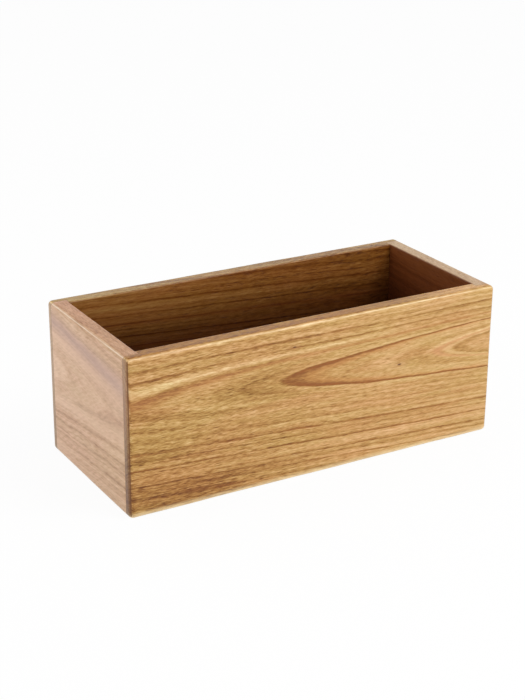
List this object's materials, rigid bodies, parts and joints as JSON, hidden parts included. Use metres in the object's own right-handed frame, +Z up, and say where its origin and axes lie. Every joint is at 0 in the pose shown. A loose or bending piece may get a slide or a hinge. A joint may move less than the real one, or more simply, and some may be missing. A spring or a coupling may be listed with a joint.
{
  "type": "condiment caddy",
  "caption": "Open-topped rectangular wooden caddy box with rebated corners, rounded edges and a grooved-in base, for standing condiment bottles and jars in.",
  "frame": {"origin": "middle of the box in plan, on the surface that it stands on", "axes": "+X along the long boards, -Y towards the front, +Z up out of the open top"},
  "size_m": [0.27, 0.118, 0.105],
  "materials": {
    "long_board_wood": "oiled honey-brown hardwood with dark streaks",
    "end_board_wood": "oiled pale pinkish-brown hardwood",
    "panel_wood": "dark oiled brown hardwood"
  },
  "bodies": {
    "root": {"front_board": "long_board_wood", "back_board": "long_board_wood", "left_end_board": "end_board_wood", "right_end_board": "end_board_wood", "base_panel": "panel_wood"}
  },
  "joints": []
}
